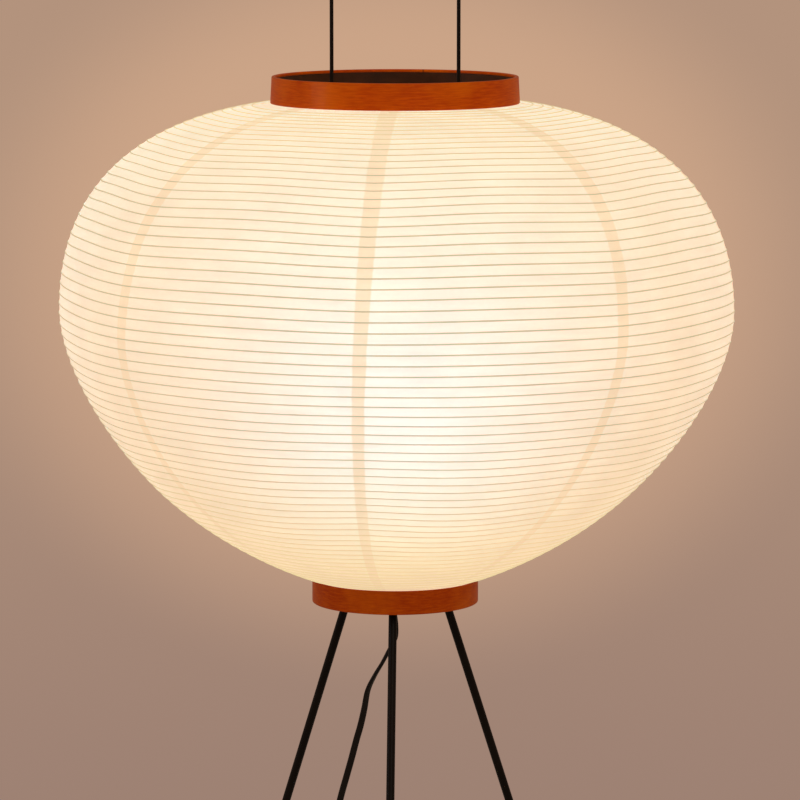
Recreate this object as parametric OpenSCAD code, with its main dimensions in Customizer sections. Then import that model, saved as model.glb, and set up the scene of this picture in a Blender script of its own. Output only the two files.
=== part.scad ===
// Paper lantern floor lamp: a round lobed paper shade on a spiral rib, held open between two
// wooden hoops by a wire bow, on three splayed rod legs. Millimetres, +Z up, the origin on the
// floor under the lamp's axis, the front leg towards -Y.

/* [Stand] */
// Height of the bottom hoop's lower rim above the floor
stand_h = 520; // [440:10:600]
// Distance from the axis to each leg's centre line, at the bottom hoop's lower rim
leg_ring_r = 43.8; // [42:0.2:45]
// Splay of each leg from the vertical, in degrees
leg_splay = 19.2; // [16:0.2:21]
// Diameter of a leg rod
leg_d = 6.5; // [5.5:0.5:8]
// Diameter of the stud on a leg's upper end
leg_stud_d = 5; // [4:0.5:5]
// Length of the stud on a leg's upper end
leg_stud_l = 17; // [12:1:20]
// Diameter of the three leg bosses
boss_d = 11; // [9.5:0.5:12]
// Turn of the three legs about the axis, in degrees
stand_turn = -2.3; // [-6:0.1:6]
// Diameter of a rubber foot
foot_d = 11; // [10:0.5:14]
// Length of a rubber foot along its leg
foot_l = 22; // [16:1:30]
// Rubber under a leg's end, along the leg
foot_wall = 4; // [3:0.5:6]

/* [Base plate] */
// Thickness of the base plate
plate_t = 3; // [2:0.5:4]
// Height of the plate's lower face above the bottom hoop's lower rim
plate_z = 14.2; // [13.5:0.1:15]
// Diameter of the three vent holes
vent_d = 24; // [14:1:26]
// Distance from the axis to the centre of each vent hole
vent_r = 36; // [34:1:38]
// Distance from the axis to the screws that hold the shade down
screw_ring_r = 56.2; // [55.8:0.1:56.6]
// Diameter of those screws
screw_d = 2.5; // [2:0.1:2.6]

/* [Bow] */
// Wire diameter of the bow
bow_d = 3; // [2.5:0.1:3.2]
// Distance between the centres of the bow's two rods
bow_span = 98.8; // [98:0.2:99.6]
// Height of the bow above the top hoop
bow_rise = 295.8; // [200:0.2:340]
// Bend radius of the bow's two top corners, at the wire's centre
bow_corner_r = 18; // [10:1:30]

/* [Hoops] */
// Outer radius of the top hoop at its lower edge
top_hoop_r = 97.3; // [95:0.1:100]
// Height of the top hoop
top_hoop_h = 21; // [19:0.5:25]
// How much narrower the top hoop is at its upper edge, on the radius
top_hoop_taper = 1; // [0:0.1:1.5]
// Outer radius of the bottom hoop
bottom_hoop_r = 65.5; // [65:0.1:66]
// Height of the bottom hoop
bottom_hoop_h = 19; // [18:0.5:22]
// Thickness of the bent wood at its thinnest
hoop_t = 3.2; // [2.6:0.1:3.6]
// Thickness of the steel band inside each hoop
band_t = 1.2; // [0.8:0.1:1.4]
// Height of the steel band inside the top hoop
top_band_h = 18; // [15:0.5:18.5]
// Inner radius of the bottom band's flange
flange_r = 53.2; // [52.8:0.1:53.4]
// Thickness of the bottom band's flange
flange_t = 1.2; // [0.8:0.1:1.5]

/* [Shade] */
// Height from the bottom hoop's lower rim to the top hoop's upper rim
shade_h = 414.2; // [380:0.1:450]
// Radius of the paper at its widest, on the seams
shade_r = 264.2; // [230:0.2:290]
// Height of the widest part above the bottom hoop's lower rim
widest_z = 229; // [210:1:250]
// How far the middle of each paper panel is drawn in at the widest part
panel_draw = 11; // [0:0.5:16]
// Turn of the seams about the axis, in degrees
seam_turn = -5.2; // [-20:0.1:20]
// Distance between two turns of the rib, along the paper
rib_pitch = 8; // [7:0.1:12]
// Width of the split rib
rib_w = 1.5; // [1:0.1:2]
// Thickness of the paper with its glue
paper_t = 0.6; // [0.4:0.1:0.8]

/* [Top spider] */
// Inner radius of the spider's middle ring, which passes round the bulb
spider_hole_r = 36; // [33:0.5:38]
// Outer radius of the spider's middle ring
spider_ring_r = 43; // [41.5:0.5:44]
// Width of the spider's two arms
arm_w = 12; // [10:0.5:16]
// Thickness of the spider
spider_t = 1.5; // [1:0.1:2]
// Height of the spider's lower face above the top hoop's lower edge
spider_z = 7; // [4:0.5:8]
// Height of the tabs that hold the spider to the band
tab_h = 9; // [8:0.5:10]
// Diameter of the rivets
rivet_d = 3; // [2:0.2:3.6]
// Outer diameter of the flanges on the two rod grips
grip_d = 9; // [8:0.5:10]
// Height of each flange of a rod grip
grip_lip = 1.6; // [1:0.1:2.5]

/* [Lampholder] */
// Outer diameter of the lampholder
holder_d = 40; // [38:0.5:44]
// Height of the lampholder
holder_h = 57; // [54:1:62]
// Wall of the lampholder's housing
holder_wall = 2; // [1.5:0.1:2.4]
// Outer diameter of the threaded stem
stem_d = 10; // [9:0.5:11]
// Bore of the threaded stem
stem_bore = 7; // [6.5:0.1:7.4]
// Length of the threaded stem
stem_l = 27; // [25:0.5:30]
// Height of each stem nut
stem_nut_h = 3.5; // [2.5:0.1:3.5]

/* [Bulb] */
// Diameter of the bulb
bulb_d = 60; // [50:1:64]
// Length of the bulb with its cap
bulb_l = 107; // [102:1:115]
// Diameter of the bulb's screw cap
bulb_cap_d = 26.2; // [25.6:0.1:26.6]
// Thickness of the bulb's glass
glass_t = 0.8; // [0.6:0.1:1.2]

/* [Cord] */
// Width of the flat cord
cord_w = 5.3; // [4.8:0.1:5.4]
// Thickness of the flat cord
cord_t = 3.2; // [2.8:0.1:3.2]
// Length of the tapered cord grip below the stem
grip_l = 20; // [16:1:22]
// Radius of the coil's outer turn, at the cord's centre
coil_r = 40; // [38:0.5:48]
// Turns in the coil
coil_turns = 6; // [4:2:6]

/* [Switch and plug] */
// Length of the in-line switch
switch_l = 60; // [54:1:62]
// Width of the in-line switch
switch_w = 24; // [23:0.5:27]
// Height of the in-line switch's housing
switch_h = 16; // [15:0.5:18]
// Width of the rocker
rocker_w = 11; // [8:0.5:12]
// Length of the rocker
rocker_l = 17.6; // [14:0.2:18]
// Tilt of the rocker each way, in degrees
rocker_tilt = 7; // [5:0.5:9]
// Width of the plug's front face
plug_w = 22; // [20:0.5:26]
// Height of the plug
plug_h = 13; // [12:0.5:15]
// Length of the plug's body
plug_l = 24; // [20:0.5:30]
// Distance between the centres of the two blades
blade_gap = 12.7; // [12.3:0.1:13.1]

/* [Hidden] */
$fn = 96;

fit = 0.05;        // radial clearance of a shaft in its hole
seat = 0.3;        // gap between soft or curved neighbours
edge_r = 0.8;      // rounding of the wood's edges
band_gap = 0.2;    // glue between a hoop and its steel band
plate_top = plate_z + plate_t;
top_hoop_z = shade_h - top_hoop_h;

// Each steel band lies inside its hoop, and the paper is glued to the hoop's edge
top_band_r = top_hoop_r - top_hoop_taper - hoop_t - band_gap;
bottom_band_r = bottom_hoop_r - hoop_t - band_gap;

// ---------- shared functions and modules ----------

function arc_points(centre, r, from, to, steps) =
    [for (i = [0:steps]) let (a = from + (to - from) * i / steps) centre + r * [cos(a), sin(a)]];

// A rectangle from corner low to corner high whose corners are rounded by r
function rounded(low, high, r) = concat(
    arc_points([high.x - r, low.y + r], r, -90, 0, 4),
    arc_points([high.x - r, high.y - r], r, 0, 90, 4),
    arc_points([low.x + r, high.y - r], r, 90, 180, 4),
    arc_points([low.x + r, low.y + r], r, 180, 270, 4));

function bezier(p, t) =
    let (u = 1 - t) u*u*u * p[0] + 3*u*u*t * p[1] + 3*u*t*t * p[2] + t*t*t * p[3];

function unit(v) = v / norm(v);

// From 0 to 1 with a level start and end
function ease(t) = let (u = max(0, min(1, t))) u * u * (3 - 2 * u);

// Length run from the first point to each point of a list
function run_lengths(p) =
    [for (i = 0, s = 0; i < len(p); s = s + (i + 1 < len(p) ? norm(p[i + 1] - p[i]) : 0), i = i + 1) s];

// Triangles of a tube of rings with the given sides, closed by a fan at each end
function tube_faces(rings, sides) = concat(
    [for (i = [1:sides - 2]) [0, i + 1, i]],
    [for (i = [1:sides - 2]) let (e = (rings - 1) * sides) [e, e + i, e + i + 1]],
    [for (k = [0:rings - 2], i = [0:sides - 1])
        let (a = k * sides + i, b = k * sides + (i + 1) % sides) [a, b, b + sides]],
    [for (k = [0:rings - 2], i = [0:sides - 1])
        let (a = k * sides + i, b = k * sides + (i + 1) % sides) [a, b + sides, a + sides]]);

module on_stand() {
    translate([0, 0, stand_h]) children();
}

module tube(r_out, r_in, h) {
    difference() {
        cylinder(r = r_out, h = h);
        translate([0, 0, -1]) cylinder(r = r_in, h = h + 2);
    }
}

module hex_nut(across, bore_d, h) {
    difference() {
        cylinder(d = across / cos(30), h = h, $fn = 6);
        translate([0, 0, -1]) cylinder(d = bore_d + 2 * fit, h = h + 2);
    }
}

// Places its children along a leg: +Z up its centre line, the origin level with the hoop's lower rim
module along_leg(i) {
    on_stand() rotate([0, 0, stand_turn + 120 * i]) translate([0, -leg_ring_r, 0])
        rotate([-leg_splay, 0, 0]) children();
}

// Places its children on the base plate's lower face between two legs
module between_legs(r) {
    for (i = [0:2])
        on_stand() rotate([0, 0, stand_turn + 60 + 120 * i]) translate([0, -r, plate_z]) children();
}

module at_bow_rods() {
    for (side = [-1, 1]) on_stand() translate([side * bow_span / 2, 0, 0]) children();
}

// ---------- legs and feet ----------

leg_run = stand_h / cos(leg_splay);
boss_start = 2.2;      // the boss's lower face along the leg, hidden inside the hoop
boss_l = leg_stud_l + 7;
stud_root = 2;         // how far the stud's core runs on inside the rod

module leg(i) {
    color("#15130f") along_leg(i) {
        translate([0, 0, foot_wall - leg_run]) cylinder(d = leg_d, h = leg_run - foot_wall + boss_start);
        translate([0, 0, boss_start - stud_root]) cylinder(d = leg_stud_d, h = stud_root + leg_stud_l);
    }
}

module foot(i) {
    color("#1b1a19") difference() {
        along_leg(i) translate([0, 0, -leg_run]) rotate_extrude() polygon(concat(
            [[0, -foot_d], [foot_d / 2, -foot_d]],
            arc_points([foot_d / 2 - 1, foot_l - 1], 1, 0, 90, 4),
            [[0, foot_l]]));
        along_leg(i) translate([0, 0, foot_wall - leg_run]) cylinder(r = leg_d / 2 + fit, h = foot_l);
        translate([-stand_h, -stand_h, -2 * foot_d]) cube([2 * stand_h, 2 * stand_h, 2 * foot_d]);
    }
}

// ---------- base plate ----------

plate_r = bottom_band_r - band_t - 0.5;

module base_plate() {
    color("#191715") difference() {
        union() {
            on_stand() translate([0, 0, plate_z]) cylinder(r = plate_r, h = plate_t);
            for (i = [0:2]) along_leg(i) translate([0, 0, boss_start]) cylinder(d = boss_d, h = boss_l);
        }
        for (i = [0:2]) along_leg(i) translate([0, 0, boss_start - 1])
            cylinder(r = leg_stud_d / 2 + fit, h = leg_stud_l + 1.5);
        on_stand() translate([0, 0, plate_z - 1]) cylinder(r = stem_d / 2 + fit, h = plate_t + 2);
        at_bow_rods() translate([0, 0, plate_z - 1]) cylinder(r = bow_d / 2 + fit, h = plate_t + 2);
        between_legs(vent_r) translate([0, 0, -1]) cylinder(d = vent_d, h = plate_t + 2);
        between_legs(screw_ring_r) translate([0, 0, -1]) cylinder(r = screw_d / 2 + fit, h = plate_t + 2);
    }
}

// ---------- bow ----------

bow_nut_h = 2.4;
bow_tail = bow_nut_h + 1.2;      // wire below the base plate
bow_top = shade_h + bow_rise - bow_d / 2;

module bow() {
    rod_l = bow_top - bow_corner_r - plate_z + bow_tail;
    color("#12100e") {
        at_bow_rods() translate([0, 0, plate_z - bow_tail]) cylinder(d = bow_d, h = rod_l);
        for (side = [-1, 1]) on_stand()
            translate([side * (bow_span / 2 - bow_corner_r), 0, bow_top - bow_corner_r])
                rotate([90, side < 0 ? -90 : 0, 0]) rotate_extrude(angle = 90)
                    translate([bow_corner_r, 0]) circle(d = bow_d);
        on_stand() translate([bow_corner_r - bow_span / 2, 0, bow_top]) rotate([0, 90, 0])
            cylinder(d = bow_d, h = bow_span - 2 * bow_corner_r);
    }
}

module bow_nuts() {
    color("#3b3a38") at_bow_rods() {
        translate([0, 0, plate_top]) hex_nut(5.5, bow_d, bow_nut_h);
        translate([0, 0, plate_z - bow_nut_h]) hex_nut(5.5, bow_d, bow_nut_h);
    }
}

// ---------- stem, cord grip and inner wires ----------

stem_nut_across = 14;
stem_z = plate_z - stem_nut_h - 1.7;      // the stem's lower end
stem_top = stem_z + stem_l;
grip_end = stem_z - grip_l;               // the cord leaves the grip here

module stem() {
    color("#8d8b86") on_stand() translate([0, 0, stem_z]) tube(stem_d / 2, stem_bore / 2, stem_l);
}

module stem_nuts() {
    color("#8d8b86") on_stand() {
        translate([0, 0, plate_z - stem_nut_h]) hex_nut(stem_nut_across, stem_d, stem_nut_h);
        translate([0, 0, plate_top]) hex_nut(stem_nut_across, stem_d, stem_nut_h);
    }
}

module cord_grip() {
    sleeve_r = stem_bore / 2 - fit;
    wire_r = 2.75;
    color("#141312") on_stand() rotate_extrude() polygon([
        [0, grip_end], [cord_w / 2 + 0.7, grip_end], [5, stem_z - 2], [6, stem_z - 2], [6, stem_z],
        [sleeve_r, stem_z], [sleeve_r, stem_z + 5], [wire_r, stem_z + 5], [wire_r, grip_end + 2],
        [0, grip_end + 2]]);
}

wire_d = 2.2;
module core_wires() {
    for (side = [-1, 1])
        color(side < 0 ? "#5b8fc7" : "#7a4a25") on_stand() translate([side * 1.35, 0, grip_end + 2])
            cylinder(d = wire_d, h = insert_z - grip_end - 2);
}

// ---------- lampholder ----------

holder_z = plate_top + stem_nut_h;       // the cap stands on the upper stem nut
holder_r = holder_d / 2;
cap_h = 23;
insert_z = holder_z + cap_h - 3;         // the insert's flange rests on a ledge in the cap
insert_h = 11;
shell_r = bulb_cap_d / 2 + 0.4;
shell_t = 0.5;
contact_h = 2.6;

module holder_cap() {
    ledge_r = holder_r - 2 * holder_wall;
    neck_r = stem_nut_across / 2 + 1;
    bore_r = stem_d / 2 + fit;
    neck_h = 4;
    floor_h = 6;      // the cap's inside starts here
    ledge_z = insert_z - holder_z;
    color("#16140f") on_stand() translate([0, 0, holder_z]) rotate_extrude() polygon(concat(
        [[bore_r, 0], [neck_r, 0], [neck_r, neck_h]],
        [for (i = [1:8]) let (a = 90 * i / 8)
            [neck_r + (holder_r - neck_r) * sin(a), neck_h + (cap_h - 2 * neck_h) * (1 - cos(a))]],
        [[holder_r, cap_h], [holder_r - holder_wall, cap_h], [holder_r - holder_wall, ledge_z],
         [ledge_r, ledge_z], [ledge_r, ledge_z - 2]],
        [for (i = [8:-1:0]) let (a = 90 * i / 8)
            [bore_r + (ledge_r - bore_r) * sin(a), floor_h + (ledge_z - 2 - floor_h) * (1 - cos(a))]]));
}

module holder_insert() {
    color("#e9e4d8") on_stand() translate([0, 0, insert_z]) rotate_extrude() polygon([
        [0, 0], [holder_r - holder_wall - fit, 0], [holder_r - holder_wall - fit, 3],
        [holder_r - 2 * holder_wall, 3], [holder_r - 2 * holder_wall, insert_h], [0, insert_h]]);
}

module holder_shell() {
    color("#b99a4e") on_stand() translate([0, 0, insert_z + insert_h])
        tube(shell_r + shell_t, shell_r, holder_z + holder_h - insert_z - insert_h - 2);
}

module holder_contact() {
    color("#b99a4e") on_stand() translate([0, 0, insert_z + insert_h]) {
        cylinder(r = 4, h = contact_h / 2);
        cylinder(r = 2.5, h = contact_h);
    }
}

module holder_body() {
    lip = 1.2;
    body_z = cap_h;
    color("#16140f") on_stand() translate([0, 0, holder_z]) rotate_extrude() polygon([
        [holder_r - holder_wall, body_z], [holder_r, body_z], [holder_r, body_z + 3],
        [holder_r - 1, body_z + 4], [holder_r - 1, holder_h - 3], [holder_r - 1 + lip, holder_h - 2],
        [holder_r - 1 + lip, holder_h - 0.6], [holder_r - 1.4 + lip, holder_h],
        [holder_r - 1 - holder_wall, holder_h], [holder_r - 1 - holder_wall, body_z + 3],
        [holder_r - holder_wall, body_z + 3]]);
}

// ---------- bulb ----------

bulb_z = insert_z + insert_h + contact_h;      // the bulb's contact rests on the holder's
bulb_centre = bulb_z + bulb_l - bulb_d / 2;
cap_top = holder_z + holder_h + 1.5;
glass_neck_r = bulb_cap_d / 2 - 0.4;
join_angle = -25;      // where the neck's curve meets the ball
bulb_cap_wall = 0.35;
glass_seat = 9;        // how far the glass reaches down into the cap

// Half outline of the glass, from the neck up to the crown, drawn in by inset
function bulb_side(inset) =
    let (r = bulb_d / 2 - inset, neck_r = glass_neck_r - inset,
        join = [r * cos(join_angle), bulb_centre + r * sin(join_angle)],
        along = [-sin(join_angle), cos(join_angle)],
        reach = (join.y - cap_top) * 0.42)
    concat(
        [for (i = [0:8]) bezier([[neck_r, cap_top], [neck_r, cap_top + reach],
            join - reach * along, join], i / 8)],
        [for (i = [1:11]) let (a = join_angle + (90 - join_angle) * i / 12)
            [r * cos(a), bulb_centre + r * sin(a)]],
        [[0, bulb_centre + r]]);

module bulb_glass() {
    outer = bulb_side(0);
    inner = bulb_side(glass_t);
    n = len(outer);
    neck_z = cap_top - glass_seat;
    color("#fff3dc") on_stand() rotate_extrude() polygon(concat(
        [[glass_neck_r - 0.2, neck_z], [glass_neck_r - 0.2, cap_top]],
        outer,
        [for (i = [n - 1:-1:0]) inner[i]],
        [[glass_neck_r - glass_t - 0.2, neck_z]]));
}

module bulb_cap() {
    cap_r = bulb_cap_d / 2;
    color("#b9bcc0") on_stand() translate([0, 0, bulb_z + 5])
        tube(cap_r, cap_r - bulb_cap_wall, cap_top - bulb_z - 5.3);
}

module bulb_contact() {
    plug_r = bulb_cap_d / 2 - bulb_cap_wall - fit;
    color("#2a2522") on_stand() translate([0, 0, bulb_z]) rotate_extrude() polygon([
        [0, 0], [4, 0], [4.6, 0.8], [4.6, 1.4], [bulb_cap_d / 2 - 1, 5], [plug_r, 5.4], [plug_r, 8],
        [0, 8]]);
}

// ---------- hoops and bands ----------

module bottom_hoop() {
    color("#b1461d") on_stand() rotate_extrude()
        polygon(rounded([bottom_hoop_r - hoop_t, 0], [bottom_hoop_r, bottom_hoop_h], edge_r));
}

module top_hoop() {
    inner_r = top_hoop_r - top_hoop_taper - hoop_t;
    color("#b1461d") on_stand() translate([0, 0, top_hoop_z]) rotate_extrude() polygon(concat(
        arc_points([top_hoop_r - edge_r, edge_r], edge_r, -90, 0, 4),
        arc_points([top_hoop_r - top_hoop_taper - edge_r, top_hoop_h - edge_r], edge_r, 0, 90, 4),
        arc_points([inner_r + edge_r, top_hoop_h - edge_r], edge_r, 90, 180, 4),
        arc_points([inner_r + edge_r, edge_r], edge_r, 180, 270, 4)));
}

module bottom_band() {
    inner_r = bottom_band_r - band_t;
    foot_z = 3;      // the band's lower edge, hidden behind the hoop
    color("#1d1b19") difference() {
        on_stand() rotate_extrude() polygon([
            [bottom_band_r, foot_z], [bottom_band_r, bottom_hoop_h - 1.5], [inner_r, bottom_hoop_h - 1.5],
            [inner_r, plate_z], [flange_r, plate_z], [flange_r, plate_z - flange_t],
            [inner_r, plate_z - flange_t], [inner_r, foot_z]]);
        between_legs(screw_ring_r) translate([0, 0, -flange_t - 1])
            cylinder(r = screw_d / 2 + fit, h = flange_t + 2);
    }
}

module shade_screws() {
    head_r = 0.9 * screw_d;
    color("#8d8b86") between_legs(screw_ring_r) rotate_extrude() polygon(concat(
        [[0, -5], [screw_d / 2, -5], [screw_d / 2, plate_t], [head_r, plate_t], [head_r, plate_t + 0.8]],
        arc_points([head_r - 0.8, plate_t + 0.8], 0.8, 0, 90, 4),
        [[0, plate_t + 1.6]]));
}

module shade_nuts() {
    color("#8d8b86") between_legs(screw_ring_r) translate([0, 0, -flange_t - 2])
        hex_nut(2 * screw_d, screw_d, 2);
}

rivet_z = top_hoop_z + spider_z + spider_t + (tab_h - spider_t) * 0.55;
tab_x = sqrt(pow(top_band_r - band_t, 2) - pow(arm_w / 2, 2)) - 0.2;

// Places its children at each rivet, +Z pointing out along the arm
module at_rivets() {
    for (side = [-1, 1]) on_stand() translate([0, 0, rivet_z]) rotate([0, side * 90, 0]) children();
}

module top_band() {
    color("#17120e") difference() {
        on_stand() translate([0, 0, top_hoop_z + 0.8]) tube(top_band_r, top_band_r - band_t, top_band_h);
        at_rivets() cylinder(r = rivet_d / 2 + fit, h = top_band_r + 5);
    }
}

module top_spider() {
    color("#17120e") difference() {
        on_stand() translate([0, 0, top_hoop_z + spider_z]) {
            cylinder(r = spider_ring_r, h = spider_t);
            translate([-tab_x, -arm_w / 2, 0]) cube([2 * tab_x, arm_w, spider_t]);
            for (side = [-1, 1])
                translate([side * (tab_x - spider_t / 2) - spider_t / 2, -arm_w / 2, 0])
                    cube([spider_t, arm_w, tab_h]);
        }
        on_stand() translate([0, 0, top_hoop_z + spider_z - 1]) cylinder(r = spider_hole_r, h = spider_t + 2);
        at_bow_rods() translate([0, 0, top_hoop_z + spider_z - 1])
            cylinder(r = bow_d / 2 + 1.5 + fit, h = spider_t + 2);
        at_rivets() cylinder(r = rivet_d / 2 + fit, h = top_band_r + 5);
    }
}

module spider_rivets() {
    head_r = 0.85 * rivet_d;
    shank_z = tab_x - spider_t;      // the tab's inner face
    color("#8d8b86") at_rivets() {
        translate([0, 0, shank_z - 0.1]) cylinder(d = rivet_d, h = top_band_r - 0.1 - shank_z + 0.1);
        rotate_extrude() polygon(concat([[0, shank_z - 0.05], [head_r, shank_z - 0.05]],
            [for (i = [1:4]) let (a = 90 * i / 4) [head_r * cos(a), shank_z - 0.05 - 1.3 * sin(a)]]));
    }
}

module rod_grips() {
    sleeve_r = bow_d / 2 + 1.5;
    color("#26221f") at_bow_rods() translate([0, 0, top_hoop_z + spider_z]) rotate_extrude() polygon([
        [bow_d / 2 + fit, -grip_lip], [grip_d / 2 - 0.5, -grip_lip], [grip_d / 2, -grip_lip + 0.5],
        [grip_d / 2, 0], [sleeve_r, 0], [sleeve_r, spider_t], [grip_d / 2, spider_t],
        [grip_d / 2, spider_t + grip_lip - 0.5], [grip_d / 2 - 0.5, spider_t + grip_lip],
        [bow_d / 2 + fit, spider_t + grip_lip]]);
}

// ---------- paper and rib ----------

panels = 8;
panel_steps = 2;                        // straight facets across one paper panel
around = panels * panel_steps;
curve_steps = 13;                       // rows of facets in the belly, and again in the crown
belly_slope = 18.9;                     // rise of the paper where it leaves the bottom hoop
crown_slope = 6;                        // fall of the paper where it leaves the top hoop
belly_reach = 0.75;                     // how far each slope runs on, as a share of its width
crown_reach = 0.49;
belly_fullness = 0.23;                  // how long the wall stays upright, as a share of its height
crown_fullness = 0.72;

paper_lap = 1.2;                        // how far the paper reaches in over a hoop's edge
seam_gap = 0.3;                         // glue between two panels on a seam
bottom_edge = [bottom_hoop_r - paper_lap, bottom_hoop_h + seat + paper_t / 2];
top_edge = [top_hoop_r - paper_lap, top_hoop_z - seat - paper_t / 2];
widest = [shade_r, widest_z];

belly = [bottom_edge,
    bottom_edge + (shade_r - bottom_edge.x) * belly_reach * [cos(belly_slope), sin(belly_slope)],
    widest - [0, (widest_z - bottom_edge.y) * belly_fullness], widest];
crown = [widest, widest + [0, (top_edge.y - widest_z) * crown_fullness],
    top_edge + (shade_r - top_edge.x) * crown_reach * [cos(crown_slope), -sin(crown_slope)], top_edge];

// The paper's outline on a seam, from the bottom hoop up to the top hoop
outline = concat([for (i = [0:curve_steps]) bezier(belly, i / curve_steps)],
    [for (i = [1:curve_steps]) bezier(crown, i / curve_steps)]);
runs = run_lengths(outline);
full_run = runs[len(runs) - 1];
radius_at = [for (i = [0:len(runs) - 1]) [runs[i], outline[i].x]];
height_at = [for (i = [0:len(runs) - 1]) [runs[i], outline[i].y]];

// How much a panel is drawn in: full in its middle, none on its seams and none at the hoops
fade_run = 70;
function draw_in(angle, run) =
    let (t = (angle * panels / 360) - floor(angle * panels / 360 + 1e-9), w = 1 - pow(2 * t - 1, 2))
    1 - panel_draw / shade_r * w * ease(run / fade_run) * ease((full_run - run) / fade_run);

// A point at radius r and height z, at an angle from the first seam
function swept(r, z, angle) =
    let (a = angle + seam_turn - 90) [r * cos(a), r * sin(a), stand_h + z];

function outline_normal(i) =
    let (a = outline[max(0, i - 1)], b = outline[min(len(outline) - 1, i + 1)], d = unit(b - a))
    [d.y, -d.x];

// Closed loop of [r, z, run] round the paper's section: up its outside and down its inside
function skin(side) = [for (i = [0:len(outline) - 1])
    let (p = outline[i] + side * paper_t / 2 * outline_normal(i)) [p.x, p.y, runs[i]]];

// One of the shade's paper panels, a closed sheet from seam to seam
module shade_paper(panel) {
    outside = skin(1);
    inside = skin(-1);
    rows = len(outside);
    loop = concat(outside, [for (i = [rows - 1:-1:0]) inside[i]]);
    n = len(loop);
    points = [for (k = [0:panel_steps], p = loop)
        let (angle = 360 * (panel * panel_steps + k) / around, r = p[0] * draw_in(angle, p[2]),
            short = k == 0 ? 1 : k == panel_steps ? -1 : 0)
        swept(r, p[1], angle + short * seam_gap * 90 / (PI * r))];
    sheet = [for (k = [0:panel_steps - 1], i = [0:n - 1], half = [0, 1])
        let (i2 = (i + 1) % n, a = k * n + i, b = a + n, c = (k + 1) * n + i2, d = k * n + i2)
        half == 0 ? [a, c, b] : [a, d, c]];
    edges = [for (k = [0, panel_steps], i = [0:rows - 2], half = [0, 1])
        let (a = k * n + i, b = a + 1, c = k * n + n - 2 - i, d = c + 1, f = half == 0 ? [d, c, b] : [d, b, a])
        k == 0 ? f : [f[0], f[2], f[1]]];
    color([1, 0.94, 0.82, 0.92]) polyhedron(points, concat(sheet, edges));
}

rib_margin = 8;      // bare paper between a hoop and the rib's first turn
rib_turns = floor((full_run - 2 * rib_margin) / rib_pitch);

module shade_rib() {
    rings = rib_turns * around + 1;
    sides = 3;
    step = 0.5;
    centres = [for (k = [0:rings - 1])
        let (run = rib_margin + rib_pitch * k / around, angle = -360 * k / around,
            r = lookup(run, radius_at), z = lookup(run, height_at))
        [r * draw_in(angle, run), z, angle, run]];
    points = [for (c = centres, i = [0:sides - 1])
        let (before = [lookup(c[3] - step, radius_at), lookup(c[3] - step, height_at)],
            after = [lookup(c[3] + step, radius_at), lookup(c[3] + step, height_at)],
            up = unit(after - before), out = [up.y, -up.x], a = 120 * i,
            p = [c[0], c[1]] + rib_w / 2 * (cos(a) * out + sin(a) * up))
        swept(p.x, p.y, c[2])];
    color("#8a6f4d") polyhedron(points, tube_faces(rings, sides));
}

// ---------- cord ----------

// The free cord's route: [x, y, z, direction of the flat cord's wide side in plan]
drop_route = [
    [0, 0, 508.7, 90], [1, 0, 500, 90], [0.5, 1, 490, 90], [-4.5, 2, 480.5, 90], [-10, 4, 469.5, 85],
    [-16.5, 6, 458, 70], [-21.8, 8, 446, 50], [-24.5, 11, 431, 30], [-27.5, 14, 417, 15],
    [-31, 17, 404, 5], [-35, 20, 388, 0], [-39, 23, 373, 0], [-44, 27, 354, 0], [-52, 35, 318, 5],
    [-60, 43, 275, 10], [-68, 51, 225, 20], [-76, 58, 170, 30], [-84, 66, 118, 40],
    [-92, 74, 74, 45], [-102, 84, 38, 45], [-114, 96, 14, 45], [-129, 111, 3.4, 45],
    [-143, 126, 1.7, 30], [-151, 142, 1.7, 0], [-148, 157, 1.7, -50], [-134, 165, 1.7, -85],
    [-117, 166, 3, -90], [-100.4, 166, 4.6, -90]];
lead_route = [
    [-39.6, 166, 4.6, -90], [-26, 165.5, 2.6, -92], [-12, 163, 1.7, -103], [4, 158.8, 1.7, -100],
    [19.6, 157, 1.7, -90]];
tail_route = [
    [20.4, 157, 5.5, -90], [34, 156.8, 5, -92], [50, 154, 3.2, -105], [65, 148, 2.2, -115],
    [78, 141, 3.6, -120], [90, 134, 5.8, -120], [98.4, 129.2, 6.5, -120]];

// A point of the smooth curve through a route, u counted in points
function on_route(p, u) =
    let (n = len(p) - 1, k = min(floor(u), n - 1), t = u - k,
        a = k > 0 ? p[k - 1] : 2 * p[0] - p[1], b = p[k], c = p[k + 1],
        d = k < n - 1 ? p[k + 2] : 2 * p[n] - p[n - 1])
    0.5 * (2 * b + t * (c - a) + t * t * (2 * a - 5 * b + 4 * c - d) + t * t * t * (3 * b - a - 3 * c + d));

function place(q) = [q[0], q[1], q[2]];

module flat_cord(route, steps, sides) {
    n = len(route) - 1;
    rings = n * steps + 1;
    points = [for (k = [0:rings - 1], i = [0:sides - 1])
        let (u = k / steps, q = on_route(route, u),
            along = unit(place(on_route(route, min(n, u + 0.05))) - place(on_route(route, max(0, u - 0.05)))),
            flat = [cos(q[3]), sin(q[3]), 0],
            wide = unit(flat - (flat * along) * along), thin = cross(along, wide), a = 360 * i / sides)
        place(q) + cord_w / 2 * cos(a) * wide + cord_t / 2 * sin(a) * thin];
    color("#121110") polyhedron(points, tube_faces(rings, sides));
}

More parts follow.
